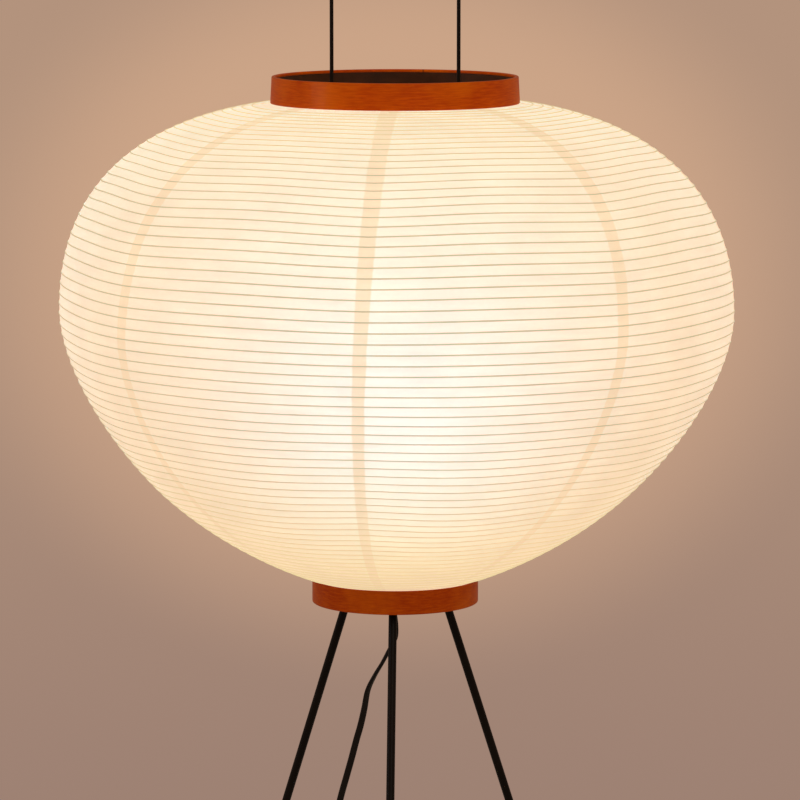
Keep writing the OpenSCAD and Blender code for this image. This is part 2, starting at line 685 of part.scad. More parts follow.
// The coil: a flat spiral in and out again in two layers, one unbroken cord
coil_centre = [20, 117];
coil_sides = 6;
loop_rings = 24;
coil_pitch = cord_w + 0.7;
layer_rise = cord_t + 0.6;
coil_bed = 1.7;
coil_rings = coil_turns * loop_rings + 1;
function from_middle(u) = sqrt(pow(u - coil_turns / 2, 2) + 0.01);
function coil_radius(u) = coil_r + coil_pitch * (from_middle(u) - from_middle(0));
function coil_height(u) = coil_bed + layer_rise * ease((u - coil_turns / 2 + 0.25) / 0.5);
function coil_point(u, i) =
    let (turn = 90 - 360 * u, a = 360 * i / coil_sides, r = coil_radius(u) + cord_w / 2 * cos(a))
    [coil_centre.x + r * cos(turn), coil_centre.y + r * sin(turn), coil_height(u) + cord_t / 2 * sin(a)];
coil_points = [for (k = [0:coil_rings - 1], i = [0:coil_sides - 1]) coil_point(k / loop_rings, i)];

// Least distance between the coil's points that lie one or more turns apart
coil_gap = min([for (k = [0:coil_rings - 1 - loop_rings], j = [k + loop_rings:loop_rings:coil_rings - 1],
    i = [0:coil_sides - 1], m = [0:coil_sides - 1])
    norm(coil_points[k * coil_sides + i] - coil_points[j * coil_sides + m])]);
echo(coil_least_gap = coil_gap);

module cord_coil() {
    color("#121110") polyhedron(coil_points, tube_faces(coil_rings, coil_sides));
}

// ---------- in-line switch ----------

switch_at = [-70, 166, 0];
split_z = 7;
shell_w = 2;
pivot_z = 12;
pivot_d = 3;
post_at = [20, 7];     // the screw posts' distances from the switch's two centre lines
post_r = 2.9;

// Half width of the switch at x, drawn in by inset: full in the middle, as wide as the cord at its ends
function switch_half(x, inset) =
    (switch_w / 2 - inset) * sqrt(1 - pow(min(abs(x), switch_l / 2 - inset) / (switch_l / 2 + 0.4 - inset), 4));

module switch_plan(inset) {
    half_l = switch_l / 2 - inset;
    xs = [for (i = [-10:10]) half_l * sin(9 * i)];
    polygon(concat([for (x = xs) [x, -switch_half(x, inset)]],
        [for (i = [20:-1:0]) [xs[i], switch_half(xs[i], inset)]]));
}

// Side view of the switch: a flat bed with eased edges under a low dome
module switch_side(inset) {
    half_l = switch_l / 2 - inset;
    end_h = 8.5 - inset;
    polygon(concat([[-half_l + 1, inset], [-half_l, 1 + inset]],
        [for (i = [0:20]) let (x = half_l * (i / 10 - 1))
            [x, end_h + (switch_h - 8.5) * sqrt(1 - pow(abs(x) / half_l, 4))]],
        [[half_l, 1 + inset], [half_l - 1, inset]]));
}

module switch_form(inset) {
    intersection() {
        linear_extrude(height = switch_h + 2) switch_plan(inset);
        translate([0, switch_w / 2, 0]) rotate([90, 0, 0]) linear_extrude(height = switch_w) switch_side(inset);
    }
}

module at_posts() {
    for (side = [-1, 1]) translate([side * post_at.x, side * post_at.y, 0]) children();
}

module switch_base() {
    color("#161412") translate(switch_at) difference() {
        intersection() {
            switch_form(0);
            translate([-switch_l, -switch_w, 0]) cube([2 * switch_l, 2 * switch_w, split_z]);
        }
        difference() {
            switch_form(shell_w);
            at_posts() cylinder(r = post_r, h = split_z);
        }
        at_posts() translate([0, 0, -1]) cylinder(r = 1.15, h = split_z + 2);
        at_posts() translate([0, 0, -1]) cylinder(r = 2.3, h = 2.6);
    }
}

module switch_cover() {
    slot_l = rocker_l + 2.2;
    slot_w = rocker_w + 0.6;
    cheek = 1.8;
    color("#161412") translate(switch_at) difference() {
        union() {
            difference() {
                intersection() {
                    switch_form(0);
                    translate([-switch_l, -switch_w, split_z]) cube([2 * switch_l, 2 * switch_w, switch_h]);
                }
                switch_form(shell_w);
            }
            intersection() {
                switch_form(0.5);
                union() {
                    at_posts() translate([0, 0, split_z]) cylinder(r = post_r, h = switch_h);
                    for (side = [-1, 1])
                        translate([-4, side * (slot_w + cheek) / 2 - cheek / 2, split_z])
                            cube([8, cheek, switch_h]);
                }
            }
        }
        translate([-slot_l / 2, -slot_w / 2, split_z - 1]) cube([slot_l, slot_w, switch_h]);
        translate([0, switch_w / 2 - 2.2, pivot_z]) rotate([90, 0, 0])
            cylinder(r = pivot_d / 2 + fit, h = switch_w - 4.4);
        at_posts() translate([0, 0, split_z - 1]) cylinder(r = 1.05, h = 5);
    }
}

module switch_rocker() {
    half_l = rocker_l / 2;
    color("#24211e") translate(switch_at + [0, 0, pivot_z]) rotate([0, rocker_tilt, 0]) {
        translate([0, rocker_w / 2, 0]) rotate([90, 0, 0]) linear_extrude(height = rocker_w) polygon([
            [-3, -3.2], [3, -3.2], [half_l, -1.2], [half_l, 5.2], [half_l - 0.8, 5.9],
            [2, 4.3], [-2, 4.3], [0.8 - half_l, 5.9], [-half_l, 5.2], [-half_l, -1.2]]);
        translate([0, rocker_w / 2 + 1.6, 0]) rotate([90, 0, 0]) cylinder(d = pivot_d, h = rocker_w + 3.2);
    }
}

module switch_screws() {
    color("#8d8b86") translate(switch_at) at_posts() {
        translate([0, 0, 0.2]) cylinder(r = 2.2, h = 1.4);
        translate([0, 0, 0.2]) cylinder(r = 1, h = split_z + 2.8);
    }
}

// ---------- plug ----------

plug_at = [98.7, 129];
plug_turn = -30;
relief_l = 20;
blade_l = 17.5;
blade_h = 6.3;
blade_t = 1.5;

module plug_frame() {
    translate([plug_at.x, plug_at.y, plug_h / 2]) rotate([0, 0, plug_turn]) children();
}

module plug_body() {
    back_w = 0.55 * plug_w;
    color("#161412") plug_frame() {
        rotate([0, 90, 0]) cylinder(r1 = cord_w / 2 + 0.6, r2 = 4.6, h = relief_l);
        translate([relief_l, 0, -plug_h / 2]) linear_extrude(height = plug_h) polygon(concat(
            [[0, -back_w / 2 + 1], [1, -back_w / 2]],
            arc_points([plug_l - 3, -plug_w / 2 + 1.5], 1.5, -90, 0, 4),
            [[plug_l, -plug_w / 2 + 2], [plug_l, plug_w / 2 - 2]],
            arc_points([plug_l - 3, plug_w / 2 - 1.5], 1.5, 0, 90, 4),
            [[1, back_w / 2], [0, back_w / 2 - 1]]));
    }
}

module plug_blades() {
    tip = 1.2;
    color("#c9a35a") plug_frame() for (side = [-1, 1])
        translate([relief_l + plug_l, side * blade_gap / 2 + blade_t / 2, 0]) rotate([90, 0, 0])
            linear_extrude(height = blade_t) polygon([[0, -blade_h / 2], [blade_l - tip, -blade_h / 2],
                [blade_l, -blade_h / 2 + tip], [blade_l, blade_h / 2 - tip], [blade_l - tip, blade_h / 2],
                [0, blade_h / 2]]);
}

// ---------- nodes ----------

leg(0);  // leg_front
leg(1);  // leg_right
leg(2);  // leg_left
foot(0);  // foot_front
foot(1);  // foot_right
foot(2);  // foot_left
base_plate();
bow();
bow_nuts();
stem();
stem_nuts();
cord_grip();
core_wires();
holder_cap();
holder_insert();
holder_shell();
holder_contact();
holder_body();
bulb_glass();
bulb_cap();
bulb_contact();
bottom_hoop();
bottom_band();
shade_screws();
shade_nuts();
shade_paper(0);  // shade_paper_1
shade_paper(1);  // shade_paper_2
shade_paper(2);  // shade_paper_3
shade_paper(3);  // shade_paper_4
shade_paper(4);  // shade_paper_5
shade_paper(5);  // shade_paper_6
shade_paper(6);  // shade_paper_7
shade_paper(7);  // shade_paper_8
shade_rib();
top_hoop();
top_band();
top_spider();
spider_rivets();
rod_grips();
flat_cord(drop_route, 2, 8);  // cord_drop
switch_base();
switch_cover();
switch_rocker();
switch_screws();
flat_cord(lead_route, 2, 8);  // cord_lead
cord_coil();
flat_cord(tail_route, 1, 8);  // cord_tail
plug_body();
plug_blades();
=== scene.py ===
import math

import bmesh
import bpy
import numpy as np
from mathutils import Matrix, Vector


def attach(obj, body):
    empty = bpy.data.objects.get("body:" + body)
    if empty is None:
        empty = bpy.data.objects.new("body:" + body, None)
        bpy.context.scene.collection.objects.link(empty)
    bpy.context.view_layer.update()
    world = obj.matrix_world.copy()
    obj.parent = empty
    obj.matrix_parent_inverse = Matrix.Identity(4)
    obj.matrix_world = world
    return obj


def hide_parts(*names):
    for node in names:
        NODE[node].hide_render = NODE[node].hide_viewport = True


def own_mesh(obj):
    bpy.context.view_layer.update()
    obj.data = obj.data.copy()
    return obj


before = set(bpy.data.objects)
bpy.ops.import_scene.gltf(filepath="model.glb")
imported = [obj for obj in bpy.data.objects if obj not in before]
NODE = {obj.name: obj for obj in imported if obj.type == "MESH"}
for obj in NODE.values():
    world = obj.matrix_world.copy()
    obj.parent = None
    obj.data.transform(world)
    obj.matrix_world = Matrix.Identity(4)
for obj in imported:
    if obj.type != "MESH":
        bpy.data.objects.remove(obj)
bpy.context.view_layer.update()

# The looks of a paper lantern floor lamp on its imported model: the paper, the rib and the cord are made
# here, and every other node is shown as it is, with a finish.

MM = 0.001
TAU = 2 * math.pi
scene = bpy.context.scene
scene.view_settings.view_transform = "Standard"


def srgb(r, g, b):
    """Linear colour of an 8-bit one: a channel over 12.92 near black, else (c + 0.055) / 1.055 to the 2.4."""
    channels = (r / 255, g / 255, b / 255)
    return tuple(c / 12.92 if c <= 0.04045 else ((c + 0.055) / 1.055) ** 2.4 for c in channels)


# ---------- camera and lights ----------

CAMERA_AT = (0.0038, -3.475, 1.13858)
PITCH_DOWN = 7.52               # degrees below level
LENS, SENSOR = 200.7, 36        # millimetres
CLIP = (0.1, 60)                # metres

camera = bpy.data.objects.new("camera", bpy.data.cameras.new("camera"))
scene.collection.objects.link(camera)
camera.location = CAMERA_AT
camera.rotation_euler = (math.radians(90 - PITCH_DOWN), 0, 0)
camera.data.sensor_width = SENSOR
camera.data.lens = LENS
camera.data.clip_start, camera.data.clip_end = CLIP
scene.camera = camera


def area_light(name, at, towards, size, power, tint):
    """A rectangle of light that faces a point: its size in metres, its power in watts."""
    lamp = bpy.data.lights.new(name, "AREA")
    lamp.shape, lamp.size, lamp.size_y = "RECTANGLE", size[0], size[1]
    lamp.energy, lamp.color = power, tint
    placed = bpy.data.objects.new(name, lamp)
    scene.collection.objects.link(placed)
    placed.location = at
    placed.rotation_mode = "QUATERNION"
    placed.rotation_quaternion = (Vector(towards) - Vector(at)).to_track_quat("-Z", "Y")


area_light("key", (-3.1, -0.9, 1.7), towards=(0, 0, 0.8), size=(0.9, 1.8), power=14, tint=(0.85, 0.94, 1.15))
area_light("fill", (1.6, -3.6, 2.6), towards=(0, 0, 0.7), size=(2.4, 1.8), power=30, tint=(1.0, 0.93, 0.86))


# ---------- node trees and meshes ----------

class Nodes:
    """Short names for building a node tree: each adds a node and gives its output."""

    def __init__(self, tree):
        self.tree = tree
        tree.nodes.clear()

    def put(self, socket, value):
        """Links an output to a socket, or sets the socket's own value. A colour gets an alpha of 1."""
        if hasattr(value, "is_output"):
            self.tree.links.new(value, socket)
        elif hasattr(socket.default_value, "__len__"):
            missing = len(socket.default_value) - len(value)
            socket.default_value = tuple(value) + (1,) * missing
        else:
            socket.default_value = value

    def fill(self, node, **inputs):
        """Puts values into a node's inputs by name, with _ for each space."""
        for key, value in inputs.items():
            self.put(node.inputs[key.replace("_", " ")], value)
        return node

    def add(self, kind, **inputs):
        return self.fill(self.tree.nodes.new(kind), **inputs)

    def operate(self, kind, operation, *values):
        """A node of a kind that has operations, with values for its first inputs."""
        node = self.tree.nodes.new(kind)
        node.operation = operation
        for socket, value in zip(node.inputs, values):
            self.put(socket, value)
        return node

    def math(self, operation, *values):
        return self.operate("ShaderNodeMath", operation, *values).outputs[0]

    def plus(self, a, b):
        return self.math("ADD", a, b)

    def times(self, a, b):
        return self.math("MULTIPLY", a, b)

    def sway(self, value, by):
        """What a value from 0 to 1 adds: by times its distance from a half."""
        return self.times(self.math("SUBTRACT", value, 0.5), by)

    def vector(self, operation, *values):
        return self.operate("ShaderNodeVectorMath", operation, *values).outputs[0]

    def length(self, v):
        return self.operate("ShaderNodeVectorMath", "LENGTH", v).outputs["Value"]

    def scale(self, colour, by):
        node = self.operate("ShaderNodeVectorMath", "SCALE", colour)
        self.put(node.inputs["Scale"], by)
        return node.outputs[0]

    def mix(self, share, a, b):
        """Colour a where share is 0, colour b where it is 1."""
        node = self.tree.nodes.new("ShaderNodeMix")
        node.data_type, node.clamp_factor = "RGBA", True
        for socket, value in ((0, share), (6, a), (7, b)):
            self.put(node.inputs[socket], value)
        return node.outputs[2]

    def blend(self, share, first, second):
        """Shader first where share is 0, shader second where it is 1."""
        node = self.tree.nodes.new("ShaderNodeMixShader")
        for socket, value in zip(node.inputs, (share, first, second)):
            self.put(socket, value)
        return node.outputs[0]

    def step(self, x, start, end):
        """0 at start and 1 at end, smooth between and level beyond; start may be above end."""
        node = self.tree.nodes.new("ShaderNodeMapRange")
        node.interpolation_type = "SMOOTHSTEP"
        limits = (start, end, 0.0, 1.0) if start < end else (end, start, 1.0, 0.0)
        for socket, value in zip(node.inputs, (x, *limits)):
            self.put(socket, value)
        return node.outputs[0]

    def object_xyz(self):
        return self.tree.nodes.new("ShaderNodeTexCoord").outputs["Object"]

    def split(self, v):
        return self.add("ShaderNodeSeparateXYZ", Vector=v).outputs

    def join(self, x, y, z):
        return self.add("ShaderNodeCombineXYZ", X=x, Y=y, Z=z).outputs[0]

    def from_axis(self, x, y):
        """Distance from the lamp's axis: the root of xx + yy."""
        return self.math("SQRT", self.plus(self.times(x, x), self.times(y, y)))

    def noise(self, at, size, detail=2.0, rough=0.5):
        """Noise whose features are about size metres."""
        scale = self.math("DIVIDE", 1.0, size) if hasattr(size, "is_output") else 1 / size
        node = self.add("ShaderNodeTexNoise", Vector=at, Scale=scale, Detail=detail, Roughness=rough)
        return node.outputs["Fac"]

    def attribute(self, name):
        node = self.tree.nodes.new("ShaderNodeAttribute")
        node.attribute_name = name
        return node.outputs["Fac"]

    def bump(self, height, depth, strength):
        return self.add("ShaderNodeBump", Height=height, Distance=depth, Strength=strength).outputs[0]


def new_finish(name):
    """A material, its nodes, its Principled BSDF and its output."""
    finish = bpy.data.materials.new(name)
    finish.use_nodes = True
    g = Nodes(finish.node_tree)
    principled = g.add("ShaderNodeBsdfPrincipled")
    output = g.add("ShaderNodeOutputMaterial", Surface=principled.outputs[0])
    return finish, g, principled, output


def quads(rows, columns, closed=True):
    """Faces between neighbouring rows of a grid of points: each corner, the next one in its row, and the
    two above them. Closed joins the last column to the first."""
    index = np.arange(rows * columns).reshape(rows, columns)
    right = np.roll(index, -1, axis=1)
    faces = np.stack([index[:-1], right[:-1], right[1:], index[1:]], -1)
    return (faces if closed else faces[:, :-1]).reshape(-1, 4)


def new_mesh(name, points, faces):
    """A mesh from an array of points and a list of faces."""
    mesh = bpy.data.meshes.new(name)
    mesh.from_pydata(points.reshape(-1, 3).tolist(), [], faces)
    return mesh


def smooth_object(mesh):
    """A smooth object of the mesh's own name, at the origin."""
    mesh.validate()
    mesh.shade_smooth()
    piece = bpy.data.objects.new(mesh.name, mesh)
    scene.collection.objects.link(piece)
    return piece


# ---------- wall and floor ----------

WALL_LOW, WALL_HIGH = srgb(157, 129, 115), srgb(179, 147, 125)
WALL_TURNS = (-0.24, -0.06)     # heights of the view's direction between which one tone becomes the other
POOL_TINT = (0.15, 0.083, 0.04)
POOL_EDGE = (0.107, 0.062)      # the pool of light starts at the first distance and is full at the second
POOL_OFF, POOL_FLAT = (0.002, 0.126), 1.18      # where its middle lies, and how much wider it is than high
ROOM_TINT, ROOM_STRENGTH = (1.0, 0.93, 0.86), 0.5


def wall():
    """The world. Rays from the camera, and those that are mirrored or refracted, see the wall: two tones by
    the height of their direction, and a soft pool of light round the shade. The others see even light."""
    world = bpy.data.worlds.new("world")
    scene.world = world
    world.use_nodes = True
    g = Nodes(world.node_tree)
    across, _, high = g.split(g.add("ShaderNodeTexCoord").outputs["Generated"])
    tone = g.mix(g.step(high, *WALL_TURNS), WALL_LOW, WALL_HIGH)
    from_shade = g.join(g.plus(across, POOL_OFF[0]), 0.0, g.math("MULTIPLY_ADD", high, POOL_FLAT, POOL_OFF[1]))
    pool = g.step(g.length(from_shade), *POOL_EDGE)
    tone = g.vector("ADD", tone, g.scale(POOL_TINT, pool))
    path = g.add("ShaderNodeLightPath").outputs
    seen = g.math("MAXIMUM", path["Is Glossy Ray"], path["Is Transmission Ray"])
    seen = g.math("MAXIMUM", path["Is Camera Ray"], seen)
    even = g.add("ShaderNodeBackground", Color=ROOM_TINT, Strength=ROOM_STRENGTH)
    shown = g.add("ShaderNodeBackground", Color=tone, Strength=1.0)
    g.add("ShaderNodeOutputWorld", Surface=g.blend(seen, even.outputs[0], shown.outputs[0]))


FLOOR_RADII, FLOOR_SIDES = np.array([0, 0.3, 0.7, 1.1, 1.5]), 96
FLOOR_FADE = (0.75, 1.48)       # the floor fades out between these distances from the axis


def floor():
    """A flat round floor: every radius times the cosine and sine of every turn."""
    turn = TAU * np.arange(FLOOR_SIDES) / FLOOR_SIDES
    x, y = np.outer(FLOOR_RADII, np.cos(turn)), np.outer(FLOOR_RADII, np.sin(turn))
    faces = quads(len(FLOOR_RADII), FLOOR_SIDES)[:, ::-1].tolist()
    ground = smooth_object(new_mesh("floor", np.stack([x, y, 0 * x], -1), faces))
    finish, g, principled, output = new_finish("floor")
    at = g.object_xyz()
    x, y, _ = g.split(at)
    tone = g.mix(g.noise(at, 0.25, 3), srgb(205, 188, 172), srgb(216, 200, 184))
    g.fill(principled, Base_Color=tone, Roughness=0.75)
    clear = g.add("ShaderNodeBsdfTransparent").outputs[0]
    faded = g.step(g.from_axis(x, y), *FLOOR_FADE)
    g.fill(output, Surface=g.blend(faded, principled.outputs[0], clear))
    ground.data.materials.append(finish)


wall()
floor()

# ---------- cord ----------

# Points of the cord's three routes: x, y, z in millimetres, and the turn of its flat side in degrees.
CORD_W, CORD_T = 5.3, 3.2
DROP = [
    [0, 0, 508.7, 90], [1, 0, 500, 90], [0.5, 1, 490, 90], [-4.5, 2, 480.5, 90], [-10, 4, 469.5, 85],
    [-16.5, 6, 458, 70], [-21.8, 8, 446, 50], [-24.5, 11, 431, 30], [-27.5, 14, 417, 15],
    [-31, 17, 404, 5], [-35, 20, 388, 0], [-39, 23, 373, 0], [-44, 27, 354, 0], [-52, 35, 318, 5],
    [-60, 43, 275, 10], [-68, 51, 225, 20], [-76, 58, 170, 30], [-84, 66, 118, 40],
    [-92, 74, 74, 45], [-102, 84, 38, 45], [-114, 96, 14, 45], [-129, 111, 3.4, 45],
    [-143, 126, 1.7, 30], [-151, 142, 1.7, 0], [-148, 157, 1.7, -50], [-134, 165, 1.7, -85],
    [-117, 166, 3, -90], [-100.4, 166, 4.6, -90]]
LEAD = [[-39.6, 166, 4.6, -90], [-26, 165.5, 2.6, -92], [-12, 163, 1.7, -103], [4, 158.8, 1.7, -100],
        [19.6, 157, 1.7, -90]]
TAIL = [[20.4, 157, 5.5, -90], [34, 156.8, 5, -92], [50, 154, 3.2, -105], [65, 148, 2.2, -115],
        [78, 141, 3.6, -120], [90, 134, 5.8, -120], [98.4, 129.2, 6.5, -120]]
DROP_STEPS, LEAD_STEPS, TAIL_STEPS, COIL_STEPS = 5, 4, 4, 48      # of each route's span, or of one turn
COIL_AT, COIL_R, COIL_TURNS, COIL_PITCH = (20, 117), 40, 6, CORD_W + 0.7
COIL_RISE, COIL_BED = CORD_T + 0.6, 1.7
COIL_BEND = 0.01                # rounds the place where the turns stop closing in and widen again
CORD_SIDES = 20
CORD_GROOVE, GROOVE_W = 0.2, 0.28               # the groove's depth and width, as shares of the halves


def ease(t):
    """From 0 to 1 with a level start and end: tt(3 - 2t)."""
    u = np.clip(t, 0, 1)
    return u * u * (3 - 2 * u)


def on_route(route, steps):
    """The smooth curve through a route's points, the same one as the solid's: t of the way from b to c,
    with a before them and d after, it is half of
    2b + t(c - a) + tt(2a - 5b + 4c - d) + ttt(3b - a - 3c + d)."""
    p = np.array(route, float)
    p = np.vstack([2 * p[0] - p[1], p, 2 * p[-1] - p[-2]])
    spans = len(route) - 1
    u = np.arange(spans * steps + 1) / steps
    k = np.minimum(u.astype(int), spans - 1)
    t = (u - k)[:, None]
    a, b, c, d = p[k], p[k + 1], p[k + 2], p[k + 3]
    return 0.5 * (2 * b + t * (c - a) + t * t * (2 * a - 5 * b + 4 * c - d)
                  + t ** 3 * (3 * b - a - 3 * c + d))


def coil(u):
    """The coil after u turns: its radius falls by the pitch each turn up to the middle turn and grows again
    from there, and its height rises by one layer at the middle turn."""
    middle = COIL_TURNS / 2
    far, far_first = np.sqrt((u - middle) ** 2 + COIL_BEND), math.sqrt(middle ** 2 + COIL_BEND)
    turn = np.radians(90 - 360 * u)
    r = COIL_R + COIL_PITCH * (far - far_first)
    z = COIL_BED + COIL_RISE * ease((u - middle + 0.25) / 0.5)
    return np.stack([COIL_AT[0] + r * np.cos(turn), COIL_AT[1] + r * np.sin(turn), z, np.degrees(turn)], 1)


def cord_line():
    """Centreline in metres and the flat side's direction, from the grip to the plug."""
    turns = np.arange(2, COIL_STEPS * COIL_TURNS - 1) / COIL_STEPS
    line = np.vstack([on_route(DROP, DROP_STEPS), on_route(LEAD, LEAD_STEPS), coil(turns),
                      on_route(TAIL, TAIL_STEPS)])
    return line[:, :3] * MM, np.radians(line[:, 3])


def flat_flex(name, line, flat, half_w, half_t):
    """A flat twin flex along a line. At each point a rounded section lies square to the line with its width
    along the flat direction: half the width times cos to the 0.8, half the thickness times sin to the 0.75,
    and the thickness is a fifth less at the groove between the two cores."""
    along = np.gradient(line, axis=0)
    along /= np.linalg.norm(along, axis=1)[:, None]
    wide = np.stack([np.cos(flat), np.sin(flat), 0 * flat], 1)
    wide -= (wide * along).sum(1)[:, None] * along
    wide /= np.linalg.norm(wide, axis=1)[:, None]
    thin = np.cross(along, wide)
    a = TAU * np.arange(CORD_SIDES) / CORD_SIDES
    x = half_w * np.sign(np.cos(a)) * np.abs(np.cos(a)) ** 0.8
    waist = 1 - CORD_GROOVE * np.exp(-((x / (GROOVE_W * half_w)) ** 2))
    y = half_t * np.sign(np.sin(a)) * np.abs(np.sin(a)) ** 0.75 * waist
    points = line[:, None] + x[None, :, None] * wide[:, None] + y[None, :, None] * thin[:, None]
    first = np.arange(CORD_SIDES)
    ends = [first[::-1].tolist(), (first + (len(line) - 1) * CORD_SIDES).tolist()]
    return smooth_object(new_mesh(name, points, quads(len(line), CORD_SIDES).tolist() + ends))


line, flat = cord_line()
cord = flat_flex("mains_cord", line, flat, CORD_W / 2 * MM, CORD_T / 2 * MM)
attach(cord, "stand")
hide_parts("cord_drop", "cord_lead", "cord_coil", "cord_tail")

# ---------- paper and rib ----------

# Millimetres: radii from the lamp's axis, heights from the bottom hoop's lower rim.
STAND_H = 520                   # that rim's height above the floor
BOTTOM_HOOP_R, BOTTOM_HOOP_H = 65.5, 19
TOP_HOOP_R, TOP_HOOP_H = 97.3, 21
SHADE_H = 414.2
PAPER_LAP = 1.2                 # the paper's ends lie this far in from the hoops' outer faces
TUCK = 0.4                      # and this far in behind the hoops' rounded edges
WIDEST = np.array([265.4, 230.6])
LOW = np.array([BOTTOM_HOOP_R - PAPER_LAP, BOTTOM_HOOP_H - TUCK])
HIGH = np.array([TOP_HOOP_R - PAPER_LAP, SHADE_H - TOP_HOOP_H + TUCK])
# each half of the outline: its slope at the hoop in degrees, how far it keeps that slope and how far it
# keeps upright at the widest place, as shares of the half's width and height
BELLY_SLOPE, BELLY_REACH, BELLY_UPRIGHT = 18.3, 0.70, 0.265
CROWN_SLOPE, CROWN_REACH, CROWN_UPRIGHT = 5.0, 0.475, 0.70
PANELS, PANEL_DRAW, SEAM_TURN = 8, 7.5, -5.2
TWIST = (-3.8, 2.7)             # how far the seams lean round, at the bottom and at the top, in degrees
DRAW_FADE = 70                  # run from each hoop over which the panels' draw grows
LIFT_AT, LIFT = [20, 95, 229, 330, 392], [0, -3.6, -0.5, 2.3, 0]      # a panel's middle against its seams
PITCH, MARGIN = 8, 8            # between two turns of the rib, and from a hoop to the first turn
AROUND = 288                    # steps round the shade
ROWS = 4                        # rows of the sheet to one turn of the rib
SAG, SAG_FADE = 0.42, 6         # how far the paper sinks in between two turns, and fades to nothing at a hoop
LAP_AT, LAP_HALF = [20, 120, 229, 330, 392], [3.5, 4.2, 5.0, 6.2, 6.8]        # half width of a seam's lap
RIB_W, RIB_OUT = 0.95, 0.12     # the rib's width, and how far it stands out of the paper
SAME_POINT = 2e-6               # metres; closer points become one


def direction(degrees):
    """A unit step outwards and up: cosine, sine."""
    return np.array([math.cos(math.radians(degrees)), math.sin(math.radians(degrees))])


def bezier(p, t):
    """A cubic through four points: with u = 1 - t, uuu of the first, 3uut and 3utt of the two handles and
    ttt of the last."""
    u, t = (1 - t)[:, None], t[:, None]
    return u ** 3 * p[0] + 3 * u * u * t * p[1] + 3 * u * t * t * p[2] + t ** 3 * p[3]


def outline():
    """The paper's outline on a seam, radius and height, from the bottom hoop to the top one: two cubics that
    meet upright at the widest place."""
    t = np.linspace(0, 1, 400)
    out_low, up_low = WIDEST - LOW
    out_high, up_high = WIDEST[0] - HIGH[0], HIGH[1] - WIDEST[1]
    belly = [LOW, LOW + out_low * BELLY_REACH * direction(BELLY_SLOPE),
             WIDEST - [0, up_low * BELLY_UPRIGHT], WIDEST]
    crown = [WIDEST, WIDEST + [0, up_high * CROWN_UPRIGHT],
             HIGH + out_high * CROWN_REACH * direction(-CROWN_SLOPE), HIGH]
    return np.vstack([bezier(belly, t), bezier(crown, t)[1:]])


OUTLINE = outline()
RUN = np.concatenate([[0], np.cumsum(np.linalg.norm(np.diff(OUTLINE, axis=0), axis=1))])
FULL = RUN[-1]
SLOPE = np.gradient(OUTLINE, RUN, axis=0)
TURNS = int((FULL - 2 * MARGIN) // PITCH)
print("paper run", round(FULL, 1), "turns", TURNS)


def panel(angle):
    """How far across its panel an angle is, and how much the panel is drawn in there: 0.4 of a parabola and
    0.6 of a cosine bell, both 0 at the seams and 1 midway."""
    t = (angle * PANELS / 360) % 1.0
    parabola = 1 - (2 * t - 1) ** 2
    return t, 0.4 * parabola + 0.6 * (1 - np.cos(TAU * t)) / 2


def on_paper(angle, run, out=0.0):
    """Points in metres at an angle from the first seam, a run up the paper and out from its surface: the
    outline's radius and height there, moved out along its normal, the radius less the panel's draw, the
    height shifted with the draw, and both turned to the angle."""
    r, z = (np.interp(run, RUN, OUTLINE[:, i]) for i in (0, 1))
    dr, dz = (np.interp(run, RUN, SLOPE[:, i]) for i in (0, 1))
    _, draw = panel(angle)
    draw = draw * ease(run / DRAW_FADE) * ease((FULL - run) / DRAW_FADE)
    radius = (r + out * dz) * (1 - PANEL_DRAW / WIDEST[0] * draw)
    height = STAND_H + z - out * dr + np.interp(z, LIFT_AT, LIFT) * draw
    turn = np.radians(angle + SEAM_TURN - 90 + np.interp(run, [0, FULL], TWIST))
    return np.stack([radius * np.cos(turn), radius * np.sin(turn), height], -1) * MM


def sheet_runs():
    """The angle of each column, the run of each row at each angle, and the rib's phase there, a whole number
    on the rib. In between, a row's run is the margin plus the pitch times (its phase - angle / 360), so rows
    follow the spiral; below and above, rows close in evenly on the hoops."""
    angle = np.linspace(0, 360, AROUND + 1)
    count = math.floor((FULL - MARGIN) / PITCH * ROWS) + 1
    phases = np.arange(count)[:, None] / ROWS
    spiral = MARGIN + PITCH * (phases - angle / 360)
    below = np.linspace(0, 1, ROWS + 1)[:-1, None] * spiral[0]
    above = spiral[-1] + np.linspace(0, 1, ROWS + 2)[1:, None] * (FULL - spiral[-1])
    runs = np.vstack([below, spiral, above])
    phase = (runs - MARGIN) / PITCH + angle / 360
    phase[len(below):len(below) + count] = phases
    return np.broadcast_to(angle, runs.shape), runs, phase


